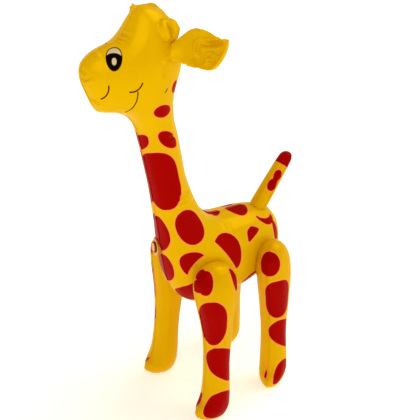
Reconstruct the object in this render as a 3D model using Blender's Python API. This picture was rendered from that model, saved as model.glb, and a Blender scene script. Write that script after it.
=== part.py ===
"""Inflatable giraffe of welded vinyl film, standing on four tube legs.

The giraffe faces -Y, its left side is +X and it stands on Z = 0. Every inflated piece is made of two
flat panels welded along their outline, so each one starts as an outline in its own plane, which is
then puffed out to both sides. The figure is drawn in units: it is 584 units high, and HEIGHT says how
high that is in metres. The valve is a bought-in fitting, so its sizes are metres of their own.
"""
import math

import bmesh
import bpy
import numpy as np
from mathutils import Matrix, Vector
from mathutils.geometry import delaunay_2d_cdt

HEIGHT = 0.584           # floor to the top of the forehead
UNIT = HEIGHT / 584      # one unit of the drawing, in metres
GAP = 0.0003             # left between a piece and what it is welded to

# Body, neck and head: one outline of (Y, Z) places, in units
HEAD_FRONT = [(-112, 584), (-125, 578), (-145, 551), (-174, 543), (-193, 531), (-196, 514),
              (-190, 495), (-180, 473), (-160, 467), (-142, 459)]
CHEST = [(-107, 322), (-102, 286), (-97, 240), (-87, 198), (-65, 168)]
BELLY = [(-32, 157), (15, 163), (60, 173)]
RUMP = [(88, 189), (98, 217), (94, 250), (77, 271)]
BACK = [(43, 281), (8, 284), (-20, 289), (-42, 311)]
NAPE = [(-79, 480), (-69, 503), (-67, 525), (-73, 551), (-86, 574)]
NECK_LINE = [(-86, 355), (-92, 387), (-98, 419), (-104, 445)]
NECK_RADIUS = 25.3
BODY_FLATNESS = 90       # half thickness that the body nears where its panels are widest
BODY_GRID = 8            # spacing of the body's points

# Legs, in units: drawn with the body's hips at HIP_HEIGHT, which the body takes up as they grow
HIP_HEIGHT = 217
LEG_LENGTH = 217         # from the floor to the centre of the leg's round head
LEG_HEAD_RISE = 30       # from the centre of the head to its top
LEG_SHIN_RADIUS = 19.5
LEG_TOE = 17             # how far the toe reaches past the shin
SOLE_DEPTH = 5           # how much of the round foot is pressed flat by the floor
LEG_GRID = 11
LEG_PLACES = {           # (X, Y) of the head, (X, Y) of the foot, the toe's outward turn in degrees, and
    "leg_front_left": ((56, -51), (67, -56), -4, 32),      # half the head's width
    "leg_front_right": ((-57, -49), (-63, -60), 4, 28),
    "leg_rear_left": ((57, 50), (56, 62), 32, 27),
    "leg_rear_right": ((-56, 57), (-58, 61), 30, 27),
}

# Tail, ears and horns, in units
TAIL_ROOT = (4, 57, 267)
TAIL_TIP = (0, 121, 342)
TAIL_RADIUS = 10
TAIL_ROOT_RADIUS = 12.5
TAIL_GRID = 6.5
EARS = {                 # root, tip, and the direction in which the upper edge swells
    "ear_left": ((19, -96, 528), (103, -69, 561), (-0.44, 0.36, 0.82)),
    "ear_right": ((-12, -76, 539), (-101, -68, 560), (0.23, 0.43, 0.87)),
}
EAR_OUTLINE = [          # along the ear from its root, and across it, in shares of its length
    (-0.05, 0.09), (0.10, 0.10), (0.20, 0.12), (0.29, 0.185), (0.40, 0.225), (0.52, 0.225),
    (0.645, 0.18), (0.74, 0.115), (0.84, 0.037), (0.92, 0.018), (1.0, 0.013), (0.97, -0.055),
    (0.925, -0.14), (0.865, -0.215), (0.81, -0.275), (0.75, -0.31), (0.66, -0.305),
    (0.50, -0.25), (0.345, -0.185), (0.18, -0.13), (0.09, -0.105), (-0.05, -0.09)]
EAR_THICKNESS = 6.5      # half thickness that the ear's leaf nears
EAR_CUP = 10             # depth of the hollow in the leaf
EAR_LEAN = 16            # how far the stem's root lies in front of the leaf's plane
EAR_GRID = 6.5
EAR_RIM = 8              # radius that the ear's puffed rim takes
HORN_ROOT = (20, -104, 554)
HORN_TIP = (32, -86, 563)
HORN_RADIUS = 14
HORN_GRID = 5

# Valve on the chest, just right of the seam: its place in units, its own sizes in metres
VALVE_PLACE = (-11, -99.5, 258)
VALVE_NORMAL = (-0.25, -0.96, 0.08)
VALVE_RADIUS = 0.0118
VALVE_FLANGE = 0.0018    # the flange stands this far out of the film
VALVE_SUNK = 0.006       # and is sunk this far into it where the film curves away
COLLAR_RADIUS = 0.0062
COLLAR_HEIGHT = 0.0026
VALVE_BORE = 0.0034      # radius of the hole that the plug closes
PLUG_RADIUS = 0.0074
PLUG_HEIGHT = 0.0014
PLUG_PIN = 0.0025        # length of the plug's pin in the hole
EDGE = 0.0007            # bevel on the valve's outer edges

YELLOW = (0.80, 0.46, 0.005, 1)
CLEAR = (0.85, 0.70, 0.35, 1)


def clear_scene():
    for thing in list(bpy.data.objects):
        bpy.data.objects.remove(thing, do_unlink=True)


def vinyl(name, colour, roughness):
    """A Principled material for one of the giraffe's vinyls."""
    material = bpy.data.materials.get(name) or bpy.data.materials.new(name)
    material.use_nodes = True
    shader = material.node_tree.nodes["Principled BSDF"]
    shader.inputs["Base Color"].default_value = colour
    shader.inputs["Roughness"].default_value = roughness
    shader.inputs["Metallic"].default_value = 0
    return material


def add_empty(name, parent=None):
    empty = bpy.data.objects.new(name, None)
    bpy.context.scene.collection.objects.link(empty)
    empty.parent = parent
    return empty


def add_object(name, mesh, material, parent):
    thing = bpy.data.objects.new(name, mesh)
    bpy.context.scene.collection.objects.link(thing)
    mesh.materials.append(material)
    thing.parent = parent
    return thing


def hide(thing):
    """Marks an object as a cutter, which isn't a piece of the giraffe."""
    thing.hide_render = True
    thing.display_type = "WIRE"
    return thing


def smooth_loop(points, spacing):
    """A closed Catmull-Rom curve through the points, sampled at an even spacing."""
    points = [Vector(p) for p in points]
    count = len(points)
    fine = []
    for i in range(count):
        a, b, c, d = (points[(i + k) % count] for k in (-1, 0, 1, 2))
        for step in range(24):
            t = step / 24
            fine.append(0.5 * (2 * b + (c - a) * t + (2 * a - 5 * b + 4 * c - d) * t ** 2
                               + (3 * b - a - 3 * c + d) * t ** 3))
    lengths = [(fine[(i + 1) % len(fine)] - p).length for i, p in enumerate(fine)]
    total = sum(lengths)
    steps = max(12, round(total / spacing))
    loop, run, i = [], 0.0, 0
    for k in range(steps):
        goal = total * k / steps
        while run + lengths[i] < goal:
            run += lengths[i]
            i += 1
        loop.append(fine[i].lerp(fine[(i + 1) % len(fine)], (goal - run) / lengths[i]))
    return loop


def inside(point, loop):
    """Whether a point lies inside a closed loop."""
    found = False
    for i, a in enumerate(loop):
        b = loop[i - 1]
        if (a.y > point.y) != (b.y > point.y):
            if point.x < (b.x - a.x) * (point.y - a.y) / (b.y - a.y) + a.x:
                found = not found
    return found


def rim_distance(point, loop):
    """Shortest distance from a point to a closed loop."""
    best = math.inf
    for i, a in enumerate(loop):
        along = loop[i - 1] - a
        t = min(1.0, max(0.0, (point - a).dot(along) / along.length_squared))
        best = min(best, (point - a - along * t).length)
    return best


def panel_points(loop, spacing, edge_radius, rings):
    """Points of a flat panel: its rim, rings that follow the rim closely, and an even inner grid."""
    area = sum(loop[i - 1].x * p.y - p.x * loop[i - 1].y for i, p in enumerate(loop))
    side = 1 if area > 0 else -1
    points = list(loop)
    inset = 0.0
    for ring in range(1, rings + 1):
        inset = edge_radius * (1 - math.cos(math.radians(90 * ring / (rings + 1))))
        start = len(points)
        for i, p in enumerate(loop):
            along = loop[(i + 1) % len(loop)] - loop[i - 1]
            place = p + Vector((-along.y, along.x)).normalized() * inset * side
            if rim_distance(place, loop) < 0.93 * inset:
                continue
            if all((place - q).length > 0.45 * spacing for q in points[start:]):
                points.append(place)
    low = Vector((min(p.x for p in loop), min(p.y for p in loop)))
    high = Vector((max(p.x for p in loop), max(p.y for p in loop)))
    rise = spacing * math.sqrt(3) / 2
    ring_end = len(points)
    for row in range(int((high.y - low.y) / rise) + 1):
        for column in range(int((high.x - low.x) / spacing) + 1):
            place = low + Vector(((column + 0.5 * (row % 2)) * spacing, row * rise))
            if inside(place, loop) and rim_distance(place, loop) > inset + 0.35 * spacing:
                if all((place - q).length > 0.6 * spacing for q in points[len(loop):ring_end]):
                    points.append(place)
    return points


def puffed_heights(points, triangles, rim):
    """How far each point of the panel swells: the root of a membrane's sag under even pressure."""
    count = len(points)
    stiffness = np.zeros((count, count))
    load = np.zeros(count)
    for triangle in triangles:
        p, q, r = (points[k] for k in triangle)
        area = abs((q - p).cross(r - p)) / 2
        for k in range(3):
            a, b, c = triangle[k], triangle[k - 2], triangle[k - 1]
            to_a, to_b = points[a] - points[c], points[b] - points[c]
            weight = to_a.dot(to_b) / (2 * abs(to_a.cross(to_b)))
            stiffness[a, b] -= weight
            stiffness[b, a] -= weight
            stiffness[a, a] += weight
            stiffness[b, b] += weight
            load[a] += 2 * area / 3
    free = np.arange(rim, count)
    sag = np.zeros(count)
    sag[free] = np.linalg.solve(stiffness[np.ix_(free, free)], load[free])
    return np.sqrt(np.maximum(sag, 0))


def puff(name, outline, place, spacing, edge_radius, rings, shape=None):
    """Mesh of two panels welded along the outline and blown up.

    The outline is in units, and place takes it from the panel's plane to the drawing. shape may move
    the two skins: from a point, its height and its side it gives the height out of the plane.
    """
    loop = smooth_loop(outline, spacing)
    points = panel_points(loop, spacing, edge_radius, rings)
    rim = len(loop)
    edges = [(i, (i + 1) % rim) for i in range(rim)]
    flat, _, triangles, _, _, _ = delaunay_2d_cdt(points, edges, [list(range(rim))], 1, 1e-5)
    heights = puffed_heights(flat, triangles, rim)
    work = bmesh.new()
    skins = []
    for side in (1, -1):
        skin = []
        for i, p in enumerate(flat):
            if side < 0 and i < rim:
                skin.append(skins[0][i])
                continue
            height = shape(p, heights[i], side) if shape else heights[i] * side
            skin.append(work.verts.new(place @ Vector((p.x, p.y, height)) * UNIT))
        skins.append(skin)
    for a, b, c in triangles:
        work.faces.new([skins[0][k] for k in (a, b, c)])
        work.faces.new([skins[1][k] for k in (c, b, a)])
    bmesh.ops.recalc_face_normals(work, faces=work.faces[:])
    return finished(name, work)


def finished(name, work):
    """The smooth-shaded mesh of a bmesh, which is freed."""
    mesh = bpy.data.meshes.new(name)
    work.to_mesh(mesh)
    work.free()
    mesh.shade_smooth()
    return mesh


def plane(origin, along, across):
    """Matrix from a panel's own plane to the drawing, from its origin and its two directions."""
    along = Vector(along).normalized()
    out = along.cross(Vector(across)).normalized()
    return Matrix.Translation(origin) @ Matrix((along, out.cross(along), out)).transposed().to_4x4()


def neck_side(side):
    """Points along the neck's front (-1) or back (1), bottom to top."""
    points = []
    for i, (y, z) in enumerate(NECK_LINE):
        low, high = NECK_LINE[max(0, i - 1)], NECK_LINE[min(len(NECK_LINE) - 1, i + 1)]
        along = Vector((high[0] - low[0], high[1] - low[1])).normalized()
        points.append(Vector((y, z)) + Vector((along.y, -along.x)) * side * NECK_RADIUS)
    return points


def body_mesh():
    """Trunk, neck and head, puffed out of the mid-plane."""
    outline = HEAD_FRONT + neck_side(-1)[::-1] + CHEST + BELLY + RUMP + BACK + neck_side(1) + NAPE
    side_on = plane((0, 0, 0), (0, 1, 0), (0, 0, 1))

    def flattened(_, height, side):
        """Wide panels swell less than narrow ones."""
        return side * height / math.sqrt(1 + (height / BODY_FLATNESS) ** 2)

    return puff("body", outline, side_on, BODY_GRID, NECK_RADIUS, 2, flattened)


def grown(name, mesh, distance, parent):
    """A cutter: the mesh with its skin moved out by a distance."""
    copy = mesh.copy()
    for vertex in mesh.vertices:
        copy.vertices[vertex.index].co = vertex.co + vertex.normal * distance
    cutter = bpy.data.objects.new(name, copy)
    bpy.context.scene.collection.objects.link(cutter)
    cutter.parent = parent
    return hide(cutter)


def cut_by(thing, cutter):
    cut = thing.modifiers.new("clear of the body", "BOOLEAN")
    cut.operation = "DIFFERENCE"
    cut.object = cutter


def leg_outline(head_radius):
    """Outline of a leg's panel: up the leg from the sole, and towards the toe."""
    length, shin, toe = LEG_LENGTH, LEG_SHIN_RADIUS, LEG_TOE
    head = [(length + LEG_HEAD_RISE * math.sin(math.radians(a)), head_radius * math.cos(math.radians(a)))
            for a in (0, 45, 90, 135, 180)]
    heel = [(length * 0.64, -shin * 1.20), (length * 0.40, -shin), (length * 0.16, -shin),
            (length * 0.06, -shin * 0.93), (length * 0.006, -shin * 0.6)]
    sole = [(-SOLE_DEPTH, -shin * 0.1), (-SOLE_DEPTH, shin * 0.6)]
    front = [(length * 0.003, shin + toe * 0.45), (length * 0.05, shin + toe),
             (length * 0.10, shin + toe * 0.75), (length * 0.18, shin + toe * 0.2),
             (length * 0.42, shin * 0.94), (length * 0.66, shin * 1.0)]
    return head + heel + sole + front


def add_leg(name, head, foot, turn, head_radius, cutter, material, parent):
    """One leg: a tube that leans from its head on the body's side to its foot."""
    outward = 1 if head[0] > 0 else -1
    bottom, top = Vector((*foot, 0)), Vector((*head, LEG_LENGTH))
    toe = Vector((math.sin(math.radians(turn)) * outward, -math.cos(math.radians(turn)), 0))
    upright = plane(bottom, top - bottom, toe)
    mesh = puff(name, leg_outline(head_radius), upright, LEG_GRID, LEG_SHIN_RADIUS, 2)
    flatten_sole(mesh)
    cut_by(add_object(name, mesh, material, parent), cutter)


def flatten_sole(mesh):
    """Cuts the foot off level with the floor and closes it with a flat sole."""
    work = bmesh.new()
    work.from_mesh(mesh)
    everything = work.verts[:] + work.edges[:] + work.faces[:]
    cut = bmesh.ops.bisect_plane(work, geom=everything, plane_co=(0, 0, 0), plane_no=(0, 0, -1), clear_outer=True)
    rim = [edge for edge in cut["geom_cut"] if isinstance(edge, bmesh.types.BMEdge)]
    sole = bmesh.ops.contextual_create(work, geom=rim)["faces"]
    bmesh.ops.recalc_face_normals(work, faces=work.faces[:])
    bmesh.ops.triangulate(work, faces=sole)
    work.to_mesh(mesh)
    work.free()


def tube_outline(length, start_radius, end_radius):
    """Outline of a straight tube with round ends, along its length from its start."""
    start = [(start_radius * math.cos(math.radians(a)), start_radius * math.sin(math.radians(a)))
             for a in (90, 135, 180, 225, 270)]
    end = [(length - end_radius * (1 - math.cos(math.radians(a))), end_radius * math.sin(math.radians(a)))
           for a in (-90, -45, 0, 45, 90)]
    return start + end


def add_tail(cutter, material, parent):
    root, tip = Vector(TAIL_ROOT), Vector(TAIL_TIP)
    outline = tube_outline((tip - root).length, TAIL_ROOT_RADIUS, TAIL_RADIUS)
    mesh = puff("tail", outline, plane(root, tip - root, (1, 0, 0)), TAIL_GRID, TAIL_RADIUS, 2)
    cut_by(add_object("tail", mesh, material, parent), cutter)


def add_ear(name, root, tip, dome, cutter, material, parent):
    """One ear: a round stem that flares into a cupped leaf, hollow to the front."""
    root, tip, dome = Vector(root), Vector(tip), Vector(dome)
    length = (tip - root).length
    outline = [(a * length, b * length) for a, b in EAR_OUTLINE]
    forward = -1 if (tip - root).cross(dome).y > 0 else 1

    def cup(point, height, side):
        """Thins the leaf and presses it back into a hollow, and bends the stem's root to the front."""
        leaf = min(1.0, max(0.0, 2.2 * point.x / length - 0.45))
        thickness = EAR_THICKNESS * height / (height + 0.8 * EAR_THICKNESS)
        hollow = EAR_CUP * leaf * min(1.0, height / (0.16 * length))
        lean = EAR_LEAN * max(0.0, 1 - (point.x + max(0.0, point.y)) / (0.38 * length)) ** 2
        return 0.8 * thickness * (2.0 - leaf) * side + (lean - hollow) * forward

    mesh = puff(name, outline, plane(root, tip - root, dome), EAR_GRID, EAR_RIM, 2, cup)
    cut_by(add_object(name, mesh, material, parent), cutter)


def add_horn(name, side, cutter, material, parent):
    root, tip = Vector(HORN_ROOT), Vector(HORN_TIP)
    root.x *= side
    tip.x *= side
    outline = tube_outline((tip - root).length, HORN_RADIUS, HORN_RADIUS)
    mesh = puff(name, outline, plane(root, tip - root, (0, 0, 1)), HORN_GRID, HORN_RADIUS, 2)
    cut_by(add_object(name, mesh, material, parent), cutter)


def turned(name, profile, place, closed):
    """A solid turned about its own Z from (radius, height) points; closed joins the last to the first."""
    work = bmesh.new()
    points = [work.verts.new((radius, 0, height)) for radius, height in profile]
    edges = [work.edges.new(pair) for pair in zip(points, points[1:])]
    if closed:
        edges.append(work.edges.new((points[-1], points[0])))
    bmesh.ops.spin(work, geom=points + edges, axis=(0, 0, 1), cent=(0, 0, 0), angle=2 * math.pi,
                   steps=24, use_merge=True)
    bmesh.ops.remove_doubles(work, verts=work.verts[:], dist=1e-6)
    bmesh.ops.recalc_face_normals(work, faces=work.faces[:])
    bmesh.ops.transform(work, matrix=place, verts=work.verts[:])
    mesh = finished(name, work)
    mesh.set_sharp_from_angle(angle=math.radians(40))
    return mesh


def add_valve(cutter, material, parent):
    """The valve's flange and collar on the film, and the plug whose pin closes its hole."""
    out = Vector(VALVE_NORMAL).normalized()
    turn = out.to_track_quat("Z", "Y").to_matrix().to_4x4()
    place = Matrix.Translation(Vector(VALVE_PLACE) * UNIT) @ turn
    base = [(VALVE_BORE, -VALVE_SUNK), (VALVE_RADIUS, -VALVE_SUNK), (VALVE_RADIUS, VALVE_FLANGE - EDGE),
            (VALVE_RADIUS - EDGE, VALVE_FLANGE), (COLLAR_RADIUS, VALVE_FLANGE),
            (COLLAR_RADIUS, COLLAR_HEIGHT), (VALVE_BORE, COLLAR_HEIGHT)]
    cut_by(add_object("valve_base", turned("valve_base", base, place, True), material, parent), cutter)
    low, pin = COLLAR_HEIGHT + GAP, VALVE_BORE - GAP
    plug = [(0, low - PLUG_PIN), (pin, low - PLUG_PIN), (pin, low), (PLUG_RADIUS, low),
            (PLUG_RADIUS, low + PLUG_HEIGHT - EDGE), (PLUG_RADIUS - EDGE, low + PLUG_HEIGHT),
            (0, low + PLUG_HEIGHT)]
    add_object("valve_plug", turned("valve_plug", plug, place, False), material, parent)


def centre_on_origin(giraffe):
    """Moves the whole giraffe so that the middle of its box is above the origin."""
    bpy.context.view_layer.update()
    deps = bpy.context.evaluated_depsgraph_get()
    corners = []
    for thing in giraffe.children_recursive:
        if thing.type == "MESH" and not thing.hide_render:
            corners += [thing.matrix_world @ Vector(corner) for corner in thing.evaluated_get(deps).bound_box]
    for axis in (0, 1):
        values = [corner[axis] for corner in corners]
        giraffe.location[axis] = -(min(values) + max(values)) / 2


def main():
    clear_scene()
    giraffe = add_empty("giraffe")
    trunk = add_empty("trunk", giraffe)
    trunk.location.z = (LEG_LENGTH - HIP_HEIGHT) * UNIT
    yellow = vinyl("glossy yellow PVC film", YELLOW, 0.22)
    body = add_object("body", body_mesh(), yellow, trunk)
    cutter = grown("body_clearance", body.data, GAP, trunk)
    for name, (head, foot, turn, head_radius) in LEG_PLACES.items():
        add_leg(name, head, foot, turn, head_radius, cutter, yellow, giraffe)
    add_tail(cutter, yellow, trunk)
    for name, (root, tip, dome) in EARS.items():
        add_ear(name, root, tip, dome, cutter, yellow, trunk)
    add_horn("horn_left", 1, cutter, yellow, trunk)
    add_horn("horn_right", -1, cutter, yellow, trunk)
    add_valve(cutter, vinyl("clear PVC of the valve", CLEAR, 0.2), trunk)
    centre_on_origin(giraffe)


main()
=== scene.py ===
# Inflatable giraffe of printed PVC film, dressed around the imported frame
# Places and sizes in the dictionaries are millimetres in the frame, and meshes are metres
import math

import bmesh
import bpy
import numpy as np
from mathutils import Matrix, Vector, noise
from mathutils.bvhtree import BVHTree
from mathutils.kdtree import KDTree


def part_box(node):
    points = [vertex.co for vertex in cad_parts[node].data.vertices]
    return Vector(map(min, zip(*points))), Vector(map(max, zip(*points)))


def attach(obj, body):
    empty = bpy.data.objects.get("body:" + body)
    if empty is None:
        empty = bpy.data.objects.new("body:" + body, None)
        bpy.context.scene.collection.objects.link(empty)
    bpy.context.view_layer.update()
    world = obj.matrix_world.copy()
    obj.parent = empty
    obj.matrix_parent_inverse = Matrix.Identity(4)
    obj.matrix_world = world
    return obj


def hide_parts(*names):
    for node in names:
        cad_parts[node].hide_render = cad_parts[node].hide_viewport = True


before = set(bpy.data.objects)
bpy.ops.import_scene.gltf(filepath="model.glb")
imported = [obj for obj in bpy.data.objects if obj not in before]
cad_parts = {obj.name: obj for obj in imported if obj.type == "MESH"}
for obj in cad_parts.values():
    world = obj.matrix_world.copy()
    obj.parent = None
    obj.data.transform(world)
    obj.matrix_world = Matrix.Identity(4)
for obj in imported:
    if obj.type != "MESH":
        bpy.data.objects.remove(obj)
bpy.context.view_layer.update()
mm = 0.001
bodyLow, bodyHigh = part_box("body")
midX = (bodyLow.x + bodyHigh.x) / 2  # the plane of the body's weld line
drawnAt = Vector((midX / mm, 36.6, 0))  # where the drawing's own origin lies in the frame
print("frame loaded with", len(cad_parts), "nodes")


# Camera at the photograph's angle

# place, direction and lens were found by a program that fitted a camera to places in the photograph
cameraPlan = {
    "place": (745.6, -537.5, 797.1), "forward": (-0.7052, 0.5250, -0.4766), "lens": 66.83, "sensor": 36,
    "clipEnd": 200,   # metres, past the backdrop
}


def addCamera(plan):
    data = bpy.data.cameras.new("photo camera")
    data.lens = plan["lens"]
    data.sensor_width = plan["sensor"]
    data.clip_end = plan["clipEnd"]
    camera = bpy.data.objects.new("photo camera", data)
    bpy.context.scene.collection.objects.link(camera)
    camera.location = Vector(plan["place"]) * mm
    camera.rotation_euler = Vector(plan["forward"]).to_track_quat("-Z", "Y").to_euler()
    bpy.context.scene.camera = camera


addCamera(cameraPlan)
print("camera set")


# Mesh helpers

def coordsOf(mesh):
    values = np.empty(len(mesh.vertices) * 3)
    mesh.vertices.foreach_get("co", values)
    return values.reshape(-1, 3)


def normalsOf(mesh):
    values = np.empty(len(mesh.vertices) * 3)
    mesh.vertex_normals.foreach_get("vector", values)
    return values.reshape(-1, 3)


def setCoords(mesh, values):
    mesh.vertices.foreach_set("co", np.ascontiguousarray(values).ravel())
    mesh.update()


def storeValue(mesh, name, values):
    layer = mesh.attributes.new(name, "FLOAT", "POINT")
    layer.data.foreach_set("value", np.ascontiguousarray(values, dtype=np.float32))


def storeVector(mesh, name, values):
    layer = mesh.attributes.new(name, "FLOAT_VECTOR", "POINT")
    layer.data.foreach_set("vector", np.ascontiguousarray(values, dtype=np.float32).ravel())


def addObject(name, mesh):
    thing = bpy.data.objects.new(name, mesh)
    bpy.context.scene.collection.objects.link(thing)
    return thing


def meshFrom(name, work):
    mesh = bpy.data.meshes.new(name)
    work.to_mesh(mesh)
    work.free()
    mesh.shade_smooth()
    return mesh


def applyModifiers(thing):
    seen = thing.evaluated_get(bpy.context.evaluated_depsgraph_get())
    mesh = bpy.data.meshes.new_from_object(seen)
    thing.modifiers.clear()
    thing.data = mesh
    mesh.shade_smooth()


mergeDistance = 0.001   # mm


def mergedCopy(node):
    work = bmesh.new()
    work.from_mesh(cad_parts[node].data)
    bmesh.ops.remove_doubles(work, verts=work.verts[:], dist=mergeDistance * mm)
    return work


smoothingPushes = (0.5, -0.52)   # a push in, then a slightly larger push out, so that nothing shrinks


def relaxed(mesh, rounds):
    pairs = np.empty(len(mesh.edges) * 2, dtype=int)
    mesh.edges.foreach_get("vertices", pairs)
    first, second = pairs.reshape(-1, 2).T
    ends, others = np.concatenate((first, second)), np.concatenate((second, first))
    co = coordsOf(mesh)
    count = np.bincount(ends, minlength=len(co))
    for _ in range(rounds):
        for push in smoothingPushes:
            for axis in range(3):
                total = np.bincount(ends, weights=co[others, axis], minlength=len(co))
                co[:, axis] += (total / count - co[:, axis]) * push
    return co


def inflatedSkin(node, plan):
    # an even, smooth skin in the place of a CAD solid
    skin = addObject(node + "_skin", meshFrom(node + "_skin", mergedCopy(node)))
    grid = skin.modifiers.new("even grid", "REMESH")
    grid.mode = "VOXEL"
    grid.voxel_size = plan["voxel"] * mm
    applyModifiers(skin)
    setCoords(skin.data, relaxed(skin.data, plan["rounds"]))
    finer = skin.modifiers.new("finer grid", "SUBSURF")
    finer.levels = 1
    finer.render_levels = 1
    applyModifiers(skin)
    return skin


def pointTree(points):
    tree = KDTree(len(points))
    for k, p in enumerate(points):
        tree.insert(p, k)
    tree.balance()
    return tree


def treeOf(skin):
    return BVHTree.FromObject(skin, bpy.context.evaluated_depsgraph_get())


# Weld lines: where the two flat panels of a piece were welded together

seamPlan = {
    "offPlane": 0.5, "offFloor": 0.2,   # mm, how near the plane and how far off the floor its edges lie
    "leastEdges": 6,
    "spacing": 1.0,   # mm between the places along the line
    "smoothing": 9,   # mm, the length over which the line is smoothed
    "reach": 4,       # places on each side that a mean along the line takes in
}


def weldPaths(node, place, normal):
    # edges of the CAD solid in the panels' plane, joined end to end
    offPlane, offFloor = seamPlan["offPlane"] * mm, seamPlan["offFloor"] * mm
    work = mergedCopy(node)
    links = {}
    for edge in work.edges:
        flat = all(abs((v.co - place).dot(normal)) < offPlane and v.co.z > offFloor for v in edge.verts)
        sides = [(face.calc_center_median() - place).dot(normal) for face in edge.link_faces]
        if flat and len(sides) == 2 and sides[0] * sides[1] < 0:
            a, b = edge.verts
            links.setdefault(a.index, []).append(b.index)
            links.setdefault(b.index, []).append(a.index)
    work.verts.ensure_lookup_table()
    paths = []
    while links:
        here = next((k for k, ends in links.items() if len(ends) == 1), next(iter(links)))
        path = [here]
        while links.get(here):
            there = links[here].pop()
            links[there].remove(here)
            path.append(there)
            here = there
        links = {k: ends for k, ends in links.items() if ends}
        if len(path) > seamPlan["leastEdges"]:
            paths.append([work.verts[k].co.copy() for k in path])
    work.free()
    return paths


def evenSeam(path, tree, plan):
    # the path at an even spacing, smoothed, and laid on the skin
    spacing, reach = plan["spacing"], plan["reach"]
    points = np.array(path)
    closed = np.linalg.norm(points[0] - points[-1]) < 0.01 * mm
    run = np.concatenate(([0], np.cumsum(np.linalg.norm(np.diff(points, axis=0), axis=1))))
    count = max(8, int(run[-1] / (spacing * mm)))
    goals = np.linspace(0, run[-1], count, endpoint=not closed)
    points = np.stack([np.interp(goals, run, points[:, k]) for k in range(3)], 1)
    rounds = int((plan["smoothing"] / spacing) ** 2 / 2)
    for _ in range(rounds):
        before, after = np.roll(points, 1, axis=0), np.roll(points, -1, axis=0)
        middle = (before + after) / 2
        if not closed:
            middle[0], middle[-1] = points[0], points[-1]
        points = (points + middle) / 2
    points = np.array([tree.find_nearest(Vector(p))[0] for p in points])
    along = np.roll(points, -1, axis=0) - np.roll(points, 1, axis=0)
    if not closed:
        along[0], along[-1] = points[1] - points[0], points[-1] - points[-2]
    along /= np.linalg.norm(along, axis=1)[:, None]
    turn = np.roll(along, -1, axis=0) - np.roll(along, 1, axis=0)
    bend = np.linalg.norm(turn, axis=1) / (2 * spacing * mm)
    if not closed:
        bend[:3], bend[-3:] = bend[3], bend[-4]
    kernel = np.ones(2 * reach + 1) / (2 * reach + 1)
    bend = np.convolve(np.concatenate((bend[-reach:], bend, bend[:reach])), kernel, "valid")
    return {"points": points, "along": along, "bend": bend, "closed": closed,
            "run": np.arange(count) * spacing}


def seamsOf(skin, node, place, normal):
    tree = treeOf(skin)
    return [evenSeam(path, tree, seamPlan) for path in weldPaths(node, place, normal)]


def ripple(run, spacing, seed):
    # seeded smooth waves along a line, from -1 to 1
    knots = np.random.default_rng(seed).uniform(-1, 1, int(np.max(run) / spacing) + 4)
    step = np.clip(run / spacing, 0, len(knots) - 2.001)
    low = step.astype(int)
    part = step - low
    part = part * part * (3 - 2 * part)
    return knots[low] * (1 - part) + knots[low + 1] * part


gatherPlan = {
    "fineShare": 0.5, "fineSpacing": 0.45,      # finer waves, as shares of the main ones
    "reachChange": 0.55, "reachSpacing": 1.7,   # how far the gathers run changes along the line
    "weldWidth": 1.6,   # mm beside the line that the weld keeps flat
    "ridge": 0.45, "tightest": 2.2,
}


def puckered(skin, seams, place, normal, plan, seed):
    # fine gathers square to the weld line, deepest where the line turns tightly
    gather = gatherPlan
    co, out = coordsOf(skin.data), normalsOf(skin.data)
    side = np.sign((co - np.array(place)) @ np.array(normal))
    for number, seam in enumerate(seams):
        tree = pointTree(seam["points"])
        found = [tree.find(p) for p in co]
        index = np.array([hit[1] for hit in found])
        away = np.array([hit[2] for hit in found]) / mm
        past = np.einsum("ij,ij->i", co - seam["points"][index], seam["along"][index]) / mm
        run = np.maximum(seam["run"][index] + past, 0)
        tight = np.clip(seam["bend"][index] * plan["radius"] * mm, 0, gather["tightest"])
        amount = np.zeros(len(co))
        for panel in (-1, 1):
            own = side == panel
            first = seed + 10 * number + panel
            waves = ripple(run[own], plan["spacing"], first)
            fine = ripple(run[own], plan["spacing"] * gather["fineSpacing"], first + 5)
            waves = waves + gather["fineShare"] * fine
            change = ripple(run[own], plan["spacing"] * gather["reachSpacing"], first + 50)
            reach = plan["reach"] * (1 + gather["reachChange"] * change)
            start = 1 - np.exp(-(away[own] / gather["weldWidth"]) ** 2)
            amount[own] = (np.abs(waves) - gather["ridge"]) * np.exp(-away[own] / reach) * start
        depth = plan["depth"] * (plan["straight"] + plan["turning"] * tight)
        co += out * (amount * depth * mm)[:, None]
    setCoords(skin.data, co)


foldPlan = {
    "step": 3,   # mm between the places of a fold's line on the skin
    "endHeight": 0.2, "endShare": 4,   # it fades to this height over a quarter of its length
    "grooveShoulder": 0.3, "ridgeShoulder": 0.05, "shoulderAt": 2.1, "shoulderWidth": 0.8,
}


def laidOn(tree, points):
    # a line of places in millimetres, brought onto the skin at short steps
    step = foldPlan["step"] * mm
    points = [Vector(p) * mm for p in points]
    line = [tree.find_nearest(points[0])[0]]
    for a, b in zip(points, points[1:]):
        steps = max(1, round((b - a).length / step))
        line += [tree.find_nearest(a.lerp(b, k / steps))[0] for k in range(1, steps + 1)]
    return np.array(line)


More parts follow.
